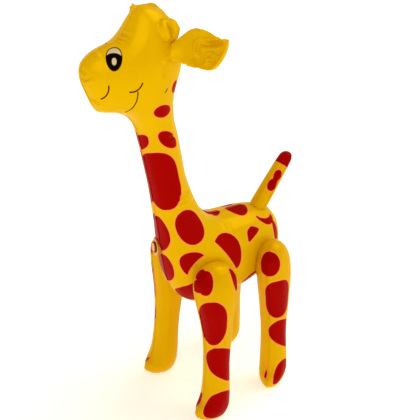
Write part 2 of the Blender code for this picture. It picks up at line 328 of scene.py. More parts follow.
def stroked(skin, strokes):
    # folds along lines: (points, half width, depth), ridges where the depth is below zero
    co, out, tree = coordsOf(skin.data), normalsOf(skin.data), treeOf(skin)
    move = np.zeros(len(co))
    for points, width, depth in strokes:
        line = laidOn(tree, points)
        lengths = np.linalg.norm(np.diff(line, axis=0), axis=1) + 1e-9
        away, share, run = np.full(len(co), 1.0), np.zeros(len(co)), 0
        for a, b, length in zip(line, line[1:], lengths):
            part = np.clip((co - a) @ (b - a) / length ** 2, 0, 1)
            there = np.linalg.norm(co - a - part[:, None] * (b - a), axis=1)
            closer = there < away
            away[closer] = there[closer]
            share[closer] = (run + part[closer] * length) / lengths.sum()
            run += length
        away /= width * mm
        low = foldPlan["endHeight"]
        ends = np.clip(np.minimum(share, 1 - share) * foldPlan["endShare"], 0, 1) ** 0.5 * (1 - low) + low
        height = foldPlan["grooveShoulder" if depth > 0 else "ridgeShoulder"]
        shoulder = height * np.exp(-((away - foldPlan["shoulderAt"]) / foldPlan["shoulderWidth"]) ** 2)
        move += depth * ends * (shoulder - np.exp(-away ** 2))
    setCoords(skin.data, co + out * (move * mm)[:, None])


crumplePlan = {"sharpness": 3.2, "deepest": -0.6, "shift": (7.3, 3.1, 5.7)}


def crumpled(skin, patches, seed):
    # loose film in small sharp folds, inside round patches: (place, radius, fold size, depth)
    co, out = coordsOf(skin.data), normalsOf(skin.data)
    shift = Vector([seed * k for k in crumplePlan["shift"]])
    for place, radius, size, depth in patches:
        away = np.linalg.norm(co - np.array(place) * mm, axis=1) / (radius * mm)
        for k in np.flatnonzero(away < 1):
            wave = noise.noise(Vector(co[k]) / (size * mm) + shift)
            fold = max(crumplePlan["deepest"], 1 - crumplePlan["sharpness"] * abs(wave))
            co[k] += out[k] * depth * mm * fold * (1 - away[k] ** 2)
    setCoords(skin.data, co)


def evened(values, closed):
    # each value is the mean of those around it along a weld line
    reach = seamPlan["reach"]
    ends = values[-reach:], values[:reach]
    if not closed:
        ends = np.repeat(values[:1], reach, axis=0), np.repeat(values[-1:], reach, axis=0)
    longer = np.concatenate((ends[0], values, ends[1]))
    return sum(longer[k:k + len(values)] for k in range(2 * reach + 1)) / (2 * reach + 1)


finPlan = {
    "thickness": 0.5, "rooted": 0.6,             # mm, and how far its root lies inside the skin
    "waveLength": 5, "unevenness": 0.25,         # mm
    "sway": 0.5, "bendScale": 22, "mostBend": 1.5,   # it sways sideways where the weld line bends
}


def weldFin(name, seams, tree, width, seed, waviness):
    # the narrow flange that the welding tool leaves along the panels' edge
    rooted, unevenness, sway = finPlan["rooted"], finPlan["unevenness"], finPlan["sway"]
    work = bmesh.new()
    for number, seam in enumerate(seams):
        wave = ripple(seam["run"], finPlan["waveLength"], seed + number) * waviness
        verts, lift = [], []
        for k, p in enumerate(seam["points"]):
            place, normal, _, _ = tree.find_nearest(Vector(p))
            across = normal.cross(Vector(seam["along"][k]))
            bend = min(finPlan["mostBend"], seam["bend"][k] * finPlan["bendScale"] * mm)
            verts.append(work.verts.new(place - normal * rooted * mm))
            rise = normal * (width + rooted + unevenness * wave[k]) * mm
            lift.append(rise + across * wave[k] * sway * bend * mm)
        lift = evened(np.array(lift), seam["closed"])
        pairs = list(zip(verts, verts[1:] + verts[:1] if seam["closed"] else verts[1:]))
        edges = [work.edges.new(pair) for pair in pairs]
        order = {v: k for k, v in enumerate(verts)}
        raised = bmesh.ops.extrude_edge_only(work, edges=edges)["geom"]
        for vert in [v for v in raised if isinstance(v, bmesh.types.BMVert)]:
            under = next(e.other_vert(vert) for e in vert.link_edges if e.other_vert(vert) in order)
            vert.co += Vector(lift[order[under]])
    bmesh.ops.recalc_face_normals(work, faces=work.faces[:])
    bmesh.ops.solidify(work, geom=work.faces[:], thickness=finPlan["thickness"] * mm)
    bmesh.ops.recalc_face_normals(work, faces=work.faces[:])
    return addObject(name, meshFrom(name, work))


def sealedOn(skin, tree, reach, depth, flare=0.0):
    # the rim of a piece runs a little way into the skin that it is welded to, and may spread out over it
    co, out = coordsOf(skin.data), normalsOf(skin.data)
    for k, p in enumerate(co):
        near, normal, _, away = tree.find_nearest(Vector(p), reach * mm)
        if near is not None:
            share = 1 - away / (reach * mm)
            aside = Vector(out[k]) - normal * normal.dot(out[k])
            sunk = np.array(normal) * share * (away + depth * mm)
            co[k] = p - sunk + np.array(aside) * flare * share ** 2 * mm
    setCoords(skin.data, co)


# Printing: distances in millimetres to the edge of the red, below zero inside it

farAway = 60.0        # mm, the distance that a place with no red near it gets
facingAway = -0.35    # a spot isn't printed where the skin faces away from it more than this
lyingFlat = 0.7       # past this share of up, the skin counts as a top or an underside


def tangentsAt(normal):
    # towards the tail, and up, along the skin at a place
    if abs(normal.z) > lyingFlat:
        tailward = (Vector((0, 1, 0)) - normal * normal.y).normalized()
        return tailward, normal.cross(tailward)
    upward = (Vector((0, 0, 1)) - normal * normal.z).normalized()
    return upward.cross(normal), upward


def chartAt(co, place, normal):
    # millimetres along the skin from a place, tailward and up
    tailward, upward = tangentsAt(normal)
    away = (co - np.array(place)) / mm
    across, up = away @ np.array(tailward), away @ np.array(upward)
    stretch = np.linalg.norm(away, axis=1) / (np.hypot(across, up) + 1e-6)
    return across * stretch, up * stretch


eggPlan = {"narrowest": 0.2, "widest": 3, "step": 0.05, "leastSlope": 0.3}


def eggDistance(across, up, length, width, turn, egg, power):
    # roughly the distance to an egg-shaped outline, half length by half width
    angle = math.radians(turn)
    u = across * math.sin(angle) + up * math.cos(angle)
    v = across * math.cos(angle) - up * math.sin(angle)

    def level(u, v):
        half = width * np.clip(1 + egg * u / length, eggPlan["narrowest"], eggPlan["widest"])
        return ((np.abs(u) / length) ** power + (np.abs(v) / half) ** power) ** (1 / power) - 1

    step = eggPlan["step"]
    slopeU = (level(u + step, v) - level(u - step, v)) / (2 * step)
    slopeV = (level(u, v + step) - level(u, v - step)) / (2 * step)
    return level(u, v) / np.maximum(np.hypot(slopeU, slopeV), eggPlan["leastSlope"] / length)


def printedSpots(co, out, tree, spots):
    # distance to the nearest of the spots: (place, half length, half width, turn, egg, power), and where a
    # piece is welded on over the spot, the weld's circle seen from the side (y, z, radius) or its ball
    nearest = np.full(len(co), farAway)
    for place, length, width, turn, egg, power, *welds in spots:
        spot, normal, _, _ = tree.find_nearest(Vector(place) * mm)
        across, up = chartAt(co, spot, normal)
        distance = eggDistance(across, up, length, width, turn, egg, power)
        hidden = out @ np.array(normal) < facingAway
        distance[hidden] = farAway
        for *middle, radius in welds:
            away = co[:, -len(middle):] / mm - np.array(middle)
            distance = np.maximum(distance, radius - np.linalg.norm(away, axis=1))
        nearest = np.minimum(nearest, distance)
    return nearest


def printLike(fin, skin):
    # the flange is cut from the same printed sheets, so it shows the print of the skin beside it
    tree = pointTree(coordsOf(skin.data))
    values = np.empty(len(skin.data.vertices), dtype=np.float32)
    skin.data.attributes["spots"].data.foreach_get("value", values)
    storeValue(fin.data, "spots", values[[tree.find(p)[1] for p in coordsOf(fin.data)]])


def mirroredAcross(values):
    flipped = values.copy()
    flipped[:, 0] = 2 * midX - flipped[:, 0]
    return flipped


# Materials

def linear(hexColour):
    # an sRGB hex value as linear red, green, blue, alpha
    values = [int(hexColour[k:k + 2], 16) / 255 for k in (1, 3, 5)]
    return [v / 12.92 if v <= 0.04045 else ((v + 0.055) / 1.055) ** 2.4 for v in values] + [1]


def addNode(tree, kind, settings=None, inputs=None):
    # one node, with its settings, and its inputs given as values or as another node's socket
    node = tree.nodes.new(kind)
    for name, value in (settings or {}).items():
        setattr(node, name, value)
    for name, value in (inputs or {}).items():
        socket = node.inputs[name]
        if isinstance(value, bpy.types.NodeSocket):
            tree.links.new(value, socket)
        else:
            socket.default_value = value
    return node


def maths(tree, operation, *values):
    return addNode(tree, "ShaderNodeMath", {"operation": operation}, dict(enumerate(values))).outputs[0]


def within(tree, distance, edge, blur):
    # 1 where the distance is below the edge, 0 past it
    settings = {"interpolation_type": "SMOOTHSTEP"}
    inputs = {"Value": distance, "From Min": edge - blur, "From Max": edge + blur,
              "To Min": 1.0, "To Max": 0.0}
    return addNode(tree, "ShaderNodeMapRange", settings, inputs).outputs["Result"]


def blended(tree, share, low, high):
    inputs = {0: share, 6: low, 7: high}   # a Mix node's factor and its two colours
    return addNode(tree, "ShaderNodeMix", {"data_type": "RGBA"}, inputs).outputs[2]


filmPlan = {
    "yellow": "#E6BC00", "deepYellow": "#E0AE00", "red": "#A80400", "deepRed": "#9C0200", "glow": "#F49A3C",
    "black": "#100604", "white": "#D0C29A", "line": "#5C0A00",
    "roughness": 0.34, "printRoughness": 0.3, "ior": 1.53, "gloss": 0.01,
    "tintedShine": 0.15,  # PVC is no metal: this much metallic gives the shine the film's own colour
    "glowShare": 0.12,
    "glowRadius": (0.004, 0.0022, 0.0005),   # metres that light gets into the film, by its colour
    # the orange round the red is a painted glow of light through the film, its width, softness and share
    # below
    "paintedGlowEdge": 1.7, "paintedGlowBlur": 0.9, "inkBlur": 0.3,   # mm, the orange edge round the red, and their softness
    "paintedGlowShare": 0.9,
    "waveHeight": 6.0, "bumpStrength": 0.25, "bumpHeight": 0.00012,   # the last in metres
    "cloudSize": 55,      # mm, slow change in the film's thickness and so its colour
    "waveSize": 9,        # mm, the loose film's slight unevenness
    "grainSize": 1.1,     # mm, calender grain, really about 0.1 mm and drawn coarser so that it shows
}


def newMaterial(name):
    material = bpy.data.materials.new(name)
    material.use_nodes = True
    return material, material.node_tree, material.node_tree.nodes["Principled BSDF"]


def noiseOf(tree, place, size, detail=2.0):
    inputs = {"Vector": place, "Scale": 1 / (size * mm), "Detail": detail}
    return addNode(tree, "ShaderNodeTexNoise", None, inputs).outputs["Fac"]


def startFilm(name, plan):
    material, tree, shader = newMaterial(name)
    shader.inputs["IOR"].default_value = plan["ior"]
    shader.inputs["Roughness"].default_value = plan["roughness"]
    shader.inputs["Specular IOR Level"].default_value = plan["gloss"]
    shader.inputs["Metallic"].default_value = plan["tintedShine"]
    shader.inputs["Subsurface Weight"].default_value = plan["glowShare"]
    shader.inputs["Subsurface Radius"].default_value = plan["glowRadius"]
    shader.inputs["Subsurface Scale"].default_value = 1.0
    place = addNode(tree, "ShaderNodeTexCoord").outputs["Object"]
    return material, tree, shader, place


def filmColour(tree, place, plan, low, high):
    cloud = noiseOf(tree, place, plan["cloudSize"])
    return blended(tree, cloud, linear(plan[low]), linear(plan[high]))


def filmBump(tree, shader, place, plan):
    wave = noiseOf(tree, place, plan["waveSize"], 1.0)
    grain = noiseOf(tree, place, plan["grainSize"])
    height = maths(tree, "MULTIPLY_ADD", wave, plan["waveHeight"], grain)
    bumpInputs = {"Strength": plan["bumpStrength"], "Distance": plan["bumpHeight"], "Height": height}
    bump = addNode(tree, "ShaderNodeBump", None, bumpInputs)
    tree.links.new(bump.outputs["Normal"], shader.inputs["Normal"])


def lengthOf(tree, x, y):
    squares = maths(tree, "ADD", maths(tree, "MULTIPLY", x, x), maths(tree, "MULTIPLY", y, y))
    return maths(tree, "SQRT", squares)


def fromCentre(tree, across, up, centre):
    return maths(tree, "SUBTRACT", across, centre[0]), maths(tree, "SUBTRACT", up, centre[1])


def turnedSum(tree, x, y, xShare, yShare):
    return maths(tree, "ADD", maths(tree, "MULTIPLY", x, xShare), maths(tree, "MULTIPLY", y, yShare))


def arcLine(tree, across, up, arc, blur):
    # a thin printed arc round a centre: 1 on the line
    x, y = fromCentre(tree, across, up, arc["centre"])
    radius = lengthOf(tree, x, y)
    away = maths(tree, "ABSOLUTE", maths(tree, "SUBTRACT", radius, arc["radius"]))
    middle = math.radians((arc["start"] + arc["end"]) / 2)
    span = math.radians(abs(arc["end"] - arc["start"]) / 2)
    ahead = turnedSum(tree, x, y, math.cos(middle), math.sin(middle))
    turned = maths(tree, "DIVIDE", ahead, radius)
    inArc = maths(tree, "GREATER_THAN", turned, math.cos(span))
    return maths(tree, "MULTIPLY", within(tree, away, arc["width"] / 2, blur), inArc)


def ovalLevel(tree, across, up, centre, halfWidth, halfHeight, turn):
    # 1 on the edge of a turned oval, less inside it
    x, y = fromCentre(tree, across, up, centre)
    c, s = math.cos(math.radians(turn)), math.sin(math.radians(turn))
    u = turnedSum(tree, x, y, c / halfWidth, s / halfWidth)
    v = turnedSum(tree, x, y, -s / halfHeight, c / halfHeight)
    return lengthOf(tree, u, v)


facePlan = {
    # The eye's middle and the pupil's centre are as a program measured them in the photograph, and the
    # centres and radii of the lines probably are too
    "place": (19.6, -127.5, 536.4),  # the eye's middle; the rest is measured along the skin from here
    "normal": (0.67, -0.28, 0.68),
    "lowest": 440, "facing": -0.2,   # the print keeps to the head, and to the side that faces this way
    "eye": {"centre": (0.1, 1.6), "halfWidth": 9.2, "halfHeight": 15.6, "turn": -8},
    "rim": 0.89,                     # where the dark outline starts, as a share of the eye
    "lineBlur": 0.22, "lidBlur": 0.35, "eyeBlur": 0.03, "pupilBlur": 0.1,
    "lid": {"centre": (-0.6, -4.0), "radius": 11.5},   # the lower edge of the white is an arc of this
    "pupil": {"centre": (-0.4, -3.1), "halfWidth": 2.6, "halfHeight": 4.4, "turn": -8},
    "lines": {
        "nostril": {"centre": (-22.3, -29), "radius": 12.7, "start": 5, "end": -89, "width": 1.8},
        "cheek": {"centre": (17.8, -22.4), "radius": 14.4, "start": -100, "end": -14, "width": 1.8},
        "mouth": {"centre": (0, -41), "radius": 26.9, "start": 11, "end": -60, "width": 1.7},
        "dash": {"centre": (39.5, -18.9), "radius": 30, "start": -17.7, "end": -29.5, "width": 1.4},
    },
}


def facePrint(tree, colour, plan, face):
    # eye, nostril, cheek and mouth over the film's colour
    spread = addNode(tree, "ShaderNodeAttribute", {"attribute_name": "face"}).outputs["Vector"]
    split = addNode(tree, "ShaderNodeSeparateXYZ", None, {0: spread})
    across, up, near = split.outputs[0], split.outputs[1], split.outputs[2]
    ink = None
    for arc in face["lines"].values():
        line = arcLine(tree, across, up, arc, face["lineBlur"])
        ink = line if ink is None else maths(tree, "MAXIMUM", ink, line)
    colour = blended(tree, maths(tree, "MULTIPLY", ink, near), colour, linear(plan["line"]))
    eye = face["eye"]
    level = ovalLevel(tree, across, up, eye["centre"], eye["halfWidth"], eye["halfHeight"], eye["turn"])
    whole = maths(tree, "MULTIPLY", within(tree, level, 1.0, face["eyeBlur"]), near)
    colour = blended(tree, whole, colour, linear(plan["black"]))
    fromLid = lengthOf(tree, *fromCentre(tree, across, up, face["lid"]["centre"]))
    belowLid = within(tree, fromLid, face["lid"]["radius"], face["lidBlur"])
    aboveLid = maths(tree, "SUBTRACT", 1.0, belowLid)
    inRim = within(tree, level, face["rim"], face["eyeBlur"])
    white = maths(tree, "MULTIPLY", maths(tree, "MULTIPLY", aboveLid, inRim), near)
    colour = blended(tree, white, colour, linear(plan["white"]))
    oval = face["pupil"]
    spot = ovalLevel(tree, across, up, oval["centre"], oval["halfWidth"], oval["halfHeight"], oval["turn"])
    glint = maths(tree, "MULTIPLY", within(tree, spot, 1.0, face["pupilBlur"]), near)
    return blended(tree, glint, colour, linear(plan["white"]))


def printedFilm(name, plan, face=None):
    # Calendered PVC film, yellow all through, printed with red ink, with a painted orange glow round the red
    # of light through the film at the ink's edge:
    # its shine is soft and takes the film's own colour, with a warm glow where light gets into it
    material, tree, shader, place = startFilm(name, plan)
    yellow = filmColour(tree, place, plan, "yellow", "deepYellow")
    red = filmColour(tree, place, plan, "red", "deepRed")
    edge = addNode(tree, "ShaderNodeAttribute", {"attribute_name": "spots"}).outputs["Fac"]
    # painted glow: orange laid round the edge of the red
    paintedGlowEdge = maths(tree, "MULTIPLY", within(tree, edge, plan["paintedGlowEdge"], plan["paintedGlowBlur"]), plan["paintedGlowShare"])
    colour = blended(tree, paintedGlowEdge, yellow, linear(plan["glow"]))
    inked = within(tree, edge, 0.0, plan["inkBlur"])
    colour = blended(tree, inked, colour, red)
    if face:
        colour = facePrint(tree, colour, plan, face)
    tree.links.new(colour, shader.inputs["Base Color"])
    smoother = plan["printRoughness"] - plan["roughness"]
    gloss = maths(tree, "MULTIPLY_ADD", inked, smoother, plan["roughness"])
    tree.links.new(gloss, shader.inputs["Roughness"])
    filmBump(tree, shader, place, plan)
    return material


def plainFilm(name, plan):
    # The same calendered film with no print, for ears and horns
    material, tree, shader, place = startFilm(name, plan)
    tree.links.new(filmColour(tree, place, plan, "yellow", "deepYellow"), shader.inputs["Base Color"])
    filmBump(tree, shader, place, plan)
    return material


valvePlan = {
    # the middle and the axis are the CAD valve's, worked out in the frame by a program
    "middle": (-13.43, -67.01, 258.35), "axis": (-0.2512, -0.9646, 0.0804), "reach": 12,
    "ior": 1.53, "gloss": 0.12, "hazeSize": 3, "hazeShift": 0.08,
    "roughness": 0.2, "hazeRoughness": 0.1,
    # from the valve's middle outwards, in shares of the reach: each ring's colour with light and shade
    # painted in, painted shade in the dark rings between the plug and its base, painted light in the lighter
    # rings, and a painted warm glow in the middle from the film behind it
    "rings": [(0.0, "#F0A030"), (0.45, "#F4AC3C"), (0.53, "#8A3A0A"), (0.66, "#702A06"), (0.73, "#F49C30"),
              (0.92, "#F8B84A"), (1.0, "#B05A14")],
}


def clearVinyl(name, plan):
    # Injection-moulded soft PVC of the valve: the real one is cloudy. It is drawn opaque, with light and
    # shade painted into the colour of each ring:
    # the dark rings are painted shade between the plug and its base, the lighter rings painted light, and the
    # warm middle a painted glow from the film behind it
    material, tree, shader = newMaterial(name)
    shader.inputs["IOR"].default_value = plan["ior"]
    shader.inputs["Specular IOR Level"].default_value = plan["gloss"]
    place = addNode(tree, "ShaderNodeTexCoord").outputs["Object"]
    middle = Vector(plan["middle"]) * mm
    vectors = "ShaderNodeVectorMath"
    away = addNode(tree, vectors, {"operation": "SUBTRACT"}, {0: place, 1: middle}).outputs[0]
    axis = Vector(plan["axis"])
    aside = addNode(tree, vectors, {"operation": "CROSS_PRODUCT"}, {0: away, 1: axis}).outputs[0]
    radius = addNode(tree, vectors, {"operation": "LENGTH"}, {0: aside}).outputs["Value"]
    haze = noiseOf(tree, place, plan["hazeSize"])
    shift = maths(tree, "MULTIPLY_ADD", haze, plan["hazeShift"], -plan["hazeShift"] / 2)
    share = maths(tree, "MULTIPLY_ADD", radius, 1 / (plan["reach"] * mm), shift)
    # the ramp paints the rings' light and shade into the valve's colour
    rings = addNode(tree, "ShaderNodeValToRGB", None, {0: share})
    ramp = rings.color_ramp
    for k, (position, colour) in enumerate(plan["rings"]):
        stop = ramp.elements[k] if k < 2 else ramp.elements.new(position)
        stop.position = position
        stop.color = linear(colour)
    tree.links.new(rings.outputs["Color"], shader.inputs["Base Color"])
    roughness = maths(tree, "MULTIPLY_ADD", haze, plan["hazeRoughness"], plan["roughness"])
    tree.links.new(roughness, shader.inputs["Roughness"])
    return material


bodyFilm = printedFilm("printed glossy PVC film", filmPlan, facePlan)
# The legs' and tail's film is drawn a slightly deeper yellow as painted shade, since they stand lower and get
# less light; the flanges of the body, legs and tail take this film too
paintedShadeLegFilmPlan = {**filmPlan, "yellow": "#E4B600", "deepYellow": "#DEA800"}   # a slightly deeper yellow
paintedShadeFilm = printedFilm("printed glossy PVC film of legs and tail", paintedShadeLegFilmPlan)
bareFilm = plainFilm("plain glossy PVC film", filmPlan)
valveVinyl = clearVinyl("cloudy moulded soft PVC with painted light and shade", valvePlan)
print("materials made")


def dressed(piece, material, slot, *nodes):
    piece.data.materials.clear()
    piece.data.materials.append(material)
    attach(piece, "root")
    if nodes:
        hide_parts(*nodes)


def finished(name, skin, seams, film, finFilm, slot, plan, seed):
    # dresses a piece, and gives it its flange with the print of the skin beside it
    dressed(skin, film, slot, name)
    fin = weldFin(name + "_weld", seams, treeOf(skin), plan["finWidth"], seed, plan.get("waviness", 1.0))
    if "spots" in skin.data.attributes:
        printLike(fin, skin)
    dressed(fin, finFilm, slot)
    print(name + ":", len(skin.data.polygons), "faces,", len(seams), "weld lines")


# Body, neck and head

bodyPlan = {
    "voxel": 2.9, "rounds": 60, "finWidth": 0.9,
    "pucker": {"spacing": 5.5, "reach": 6, "depth": 0.9, "straight": 0.25, "turning": 0.5, "radius": 24},
    "creases": [
        ([(-4, -101, 558), (4, -101, 558), (11, -99, 557)], 1.4, -2.3),
        ([(-6, -106, 552), (2, -107, 553), (9, -105, 552)], 1.4, -2.4),
        ([(0, -111, 549), (9, -109, 549)], 1.4, -2.0), ([(-4, -140, 541), (9, -139, 539)], 1.6, -2.3),
        ([(-3, -158, 525), (4, -158, 520), (8, -157, 519)], 1.7, -2.6),
        ([(0, -158, 512), (8, -156, 513), (15, -152, 516)], 1.7, -3.0),
        ([(2, -151, 489), (9, -148, 488), (14, -143, 484)], 1.7, -2.6),
        ([(36, -79, 524), (37, -77, 514), (36, -73, 504), (35, -69, 496)], 5.0, -1.1),
        ([(35, -73, 527), (36, -75, 518), (37, -76, 509)], 3.4, 1.6),
        ([(24, -58, 427), (14, -45, 426)], 2.2, 1.5), ([(25, -50, 343), (12, -35, 341)], 2.2, 1.4),
        ([(25, -55, 337), (14, -38, 333)], 1.8, 1.0), ([(15, 27, 283), (34, 25, 271)], 2.0, 1.1),
        ([(19, 33, 283), (38, 31, 268)], 2.0, 0.9),
    ],
    # All but the last three of these spots, and the last two of the left ones, are numbers that a program
    # found by fitting each spot to the photograph's, one of them rounded. The other spots were set one by
    # one.
    # The four welds' circles may be a program's numbers too
    "spots": [
        ((31, -73, 466), 12.8, 8.4, -77, 0.05, 2.0), ((24, -62, 425), 17.5, 8.9, -46, 0.08, 1.8),
        ((-4, -86, 418), 8.9, 19.9, -27, 0.23, 3.0), ((15, -70, 368), 42, 24, -9, 0.02, 2.6),
        ((-2, -65, 285), 28.9, 20.5, 12, -0.11, 1.7), ((31, -37, 299), 26.4, 18.3, -25, -0.06, 2.1),
        ((23, 97, 267), 17.2, 11.5, -77, -0.13, 1.8, (2.7, 93.6, 267, 22.6)),
        ((37, 62, 260), 7.3, 10.7, -23, -0.42, 4.0, (87.6, 217, 42)),
        ((45, 16, 247), 31.1, 21.9, -28, 0.25, 1.8, (-198, 112, 250)),
        ((36, -38, 245), 18.6, 17.1, 7, 0.24, 2.0, (-10.6, 226, 32)),
        ((-3, -58, 229), 25.8, 19.9, 27, -0.04, 1.8), ((30, -31, 194), 30.2, 18.4, 52, -0.08, 2.5),
        ((29, -55, 492), 7.5, 6, 15, 0.0, 2.0), ((32, 112, 242), 18, 6, 0, 0.0, 2.0),
        ((38, 59, 188), 13, 6, 60, 0.0, 2.0),
    ],
    "leftSpots": [
        ((-3, 14, 290), 12, 7, 60, 0.0, 2.0), ((-3, 26, 286), 10.7, 8.1, 46, 0.1, 2.5),
        ((0, 63, 283), 16.2, 18, 110, 0.29, 1.7),
    ],
    "rightSpots": [
        ((15, -64, 240), 7, 5, 0, 0.0, 2.0), ((24, 14, 280), 16, 10, 70, 0.1, 2.0),
        ((22, 58, 277), 15, 12, 80, 0.2, 2.0),
    ],
    "lap": 8,   # how far the left panel's print runs past the middle of the back
}


def makeBody(plan):
    skin = inflatedSkin("body", plan)
    place, normal = Vector((midX, 0, 0)), Vector((1, 0, 0))
    tree = treeOf(skin)
    seams = seamsOf(skin, "body", place, normal)
    co, out = coordsOf(skin.data), normalsOf(skin.data)
    beyond = (midX - co[:, 0]) / mm
    leftOnly = np.maximum(printedSpots(co, out, tree, plan["leftSpots"]), beyond - plan["lap"])
    right = beyond > 0
    co[right] = mirroredAcross(co[right])
    out[right, 0] *= -1
    rightOnly = np.maximum(printedSpots(co, out, tree, plan["rightSpots"]), -beyond)
    spots = np.minimum(np.minimum(leftOnly, rightOnly), printedSpots(co, out, tree, plan["spots"]))
    eyePlace, eyeNormal = Vector(facePlan["place"]) * mm, Vector(facePlan["normal"]).normalized()
    across, up = chartAt(co, eyePlace, eyeNormal)
    near = (out @ np.array(eyeNormal) > facePlan["facing"]) & (co[:, 2] > facePlan["lowest"] * mm)
    storeVector(skin.data, "face", np.stack((across, up, near), 1))
    storeValue(skin.data, "spots", spots)
    puckered(skin, seams, place, normal, plan["pucker"], 11)
    stroked(skin, plan["creases"])
    finished("body", skin, seams, bodyFilm, paintedShadeFilm, "printed_film", plan, 21)
    return treeOf(skin)


bodyTree = makeBody(bodyPlan)


# Legs

legPlan = {
    "voxel": 2.3, "rounds": 45, "headHeight": 217, "finWidth": 0.9,
    "sealed": (4, 1.5),   # millimetres over which its rim closes on the body, and how far it runs in
    "pucker": {"spacing": 4.5, "reach": 5, "depth": 0.8, "straight": 0.12, "turning": 0.55, "radius": 20},
    "legs": {   # across and along the drawing: head, foot, and the toe's outward turn in degrees
        "leg_front_left": {"head": (56, -51), "foot": (67, -56), "turn": -4, "print": "front", "lap": (3, 8),
                           "toeMark": (25, 30, -12, 20, 7, 0, 0.0, 1.8)},
        "leg_front_right": {"head": (-57, -49), "foot": (-63, -60), "turn": 4, "print": "front",
                            "lap": (-2, 3), "toeMark": (23, 30, 3, 6.5, 2.2, -20, 0.0, 1.6)},
        "leg_rear_left": {"head": (57, 50), "foot": (56, 62), "turn": 32, "print": "rear", "lap": (3, 8),
                          "toeMark": (26, 26, -3, 7, 1.9, -8, -0.4, 1.6)},
        "leg_rear_right": {"head": (-56, 57), "foot": (-58, 61), "turn": 30, "print": "rear", "lap": (0, 5),
                           "toeMark": (28, 27, -1, 8, 2, 8, 0.0, 1.6)},
    },
    # lap: how far the outer panel's print runs past the middle of the leg at its foot, and how much
    # more at the height given here
    "lapHeight": 220,
    # toeMark: red on the inner panel, where the toe's seam has gathered it
    # The fourth to sixth spots at the front, and all at the rear, are numbers that a program found by
    # fitting each spot to the photograph's. The others were set one by one
    "spots": {  # height up the leg, millimetres towards the toe and out of the side, then as on the body
        "front": [(230, 24, 12, 17, 11, -5, 0.0, 2.2), (223, 30, 3, 9, 9, 0, 0.0, 2.0),
                  (236, 22, -2, 8, 8, 0, 0.0, 2.0), (167, 16, 16, 37.4, 20.6, 2, 0.05, 2.2),
                  (93, -1, 19, 34.7, 20.3, -22, 0.47, 1.5), (28, 3, 21, 22.8, 24.3, 3, -0.33, 2.9),
                  (225, -20, 18, 17, 6, 5, 0.0, 1.9), (165, -24, 8, 26, 7, 0, 0.0, 1.8)],
        "rear": [(224, 26, 3, 14.6, 18.7, 93, -0.11, 2.2), (162, 17, 13, 34.9, 18.4, -5, 0.06, 2.6),
                 (93, 7, 17, 30.2, 18.8, -21, 0.49, 1.5), (27, 17, 18, 21.6, 11.5, 38, 0.35, 2.3)],
    },
}


def legFrame(leg, headHeight):
    # foot, and the directions up the leg, towards the toe and out of the giraffe's side
    outward = 1 if leg["head"][0] > 0 else -1
    foot = (Vector((*leg["foot"], 0)) + drawnAt) * mm
    head = (Vector((*leg["head"], headHeight)) + drawnAt) * mm
    up = (head - foot).normalized()
    turn = math.radians(leg["turn"])
    out = up.cross(Vector((math.sin(turn) * outward, -math.cos(turn), 0))).normalized()
    return foot, up, out.cross(up), out * outward


def makeLeg(name, leg, plan, seed):
    skin = inflatedSkin(name, plan)
    foot, up, toe, out = legFrame(leg, plan["headHeight"])
    tree = treeOf(skin)
    seams = seamsOf(skin, name, foot, out)
    spots = []
    mirror = 1 if out.x > 0 else -1
    drawn = plan["spots"][leg["print"]] + [leg["toeMark"]]
    for height, ahead, side, length, width, turn, egg, power in drawn:
        place = foot + (up * height + toe * ahead + out * side) * mm
        spots.append((place / mm, length, width, turn * mirror, egg, power))
    co, normals = coordsOf(skin.data), normalsOf(skin.data)
    distance = printedSpots(co, normals, tree, spots[:-1])
    height = (co - np.array(foot)) @ np.array(up) / mm
    lap, headLap = leg["lap"]
    inner = (np.array(foot) - co) @ np.array(out) / mm - lap - headLap * (height / plan["lapHeight"]) ** 3
    distance = np.maximum(distance, inner)
    storeValue(skin.data, "spots", np.minimum(distance, printedSpots(co, normals, tree, spots[-1:])))
    puckered(skin, seams, foot, out, plan["pucker"], seed)
    sealedOn(skin, bodyTree, *plan["sealed"])
    co = coordsOf(skin.data)
    co[:, 2] = np.maximum(co[:, 2], 0)
    setCoords(skin.data, co)
    finished(name, skin, seams, paintedShadeFilm, paintedShadeFilm, "leg_film", plan, seed + 5)


for number, (name, leg) in enumerate(legPlan["legs"].items()):
    makeLeg(name, leg, legPlan, 100 + 20 * number)


# Tail

tailPlan = {
    "voxel": 1.9, "rounds": 30, "root": (4, 57, 267), "tip": (0, 121, 342), "finWidth": 0.8,
    "sealed": (3, 1.2),
    "pucker": {"spacing": 3.5, "reach": 3.5, "depth": 0.5, "straight": 0.15, "turning": 0.5, "radius": 11},
    "cap": 77.5,     # the red cap starts this far up the tail
    "spots": [((10, 119, 305), 9, 6.5, 31, 0.0, 2.2), ((10, 129, 317), 8, 5.6, 31, 0.0, 2.2),
              ((11, 124, 311), 8, 4.4, 31, 0.0, 2.2)],
}


def makeTail(plan):
    skin = inflatedSkin("tail", plan)
    root, tip = (Vector(plan["root"]) + drawnAt) * mm, (Vector(plan["tip"]) + drawnAt) * mm
    along = (tip - root).normalized()
    normal = along.cross(Vector((1, 0, 0))).normalized()
    tree = treeOf(skin)
    seams = seamsOf(skin, "tail", root, normal)
    co, out = coordsOf(skin.data), normalsOf(skin.data)
    spots = printedSpots(co, out, tree, plan["spots"])
    run = (co - np.array(root)) @ np.array(along) / mm
    storeValue(skin.data, "spots", np.minimum(spots, plan["cap"] - run))
    puckered(skin, seams, root, normal, plan["pucker"], 200)
    sealedOn(skin, bodyTree, *plan["sealed"])
    finished("tail", skin, seams, paintedShadeFilm, paintedShadeFilm, "tail_film", plan, 205)


makeTail(tailPlan)


# Ears and horns

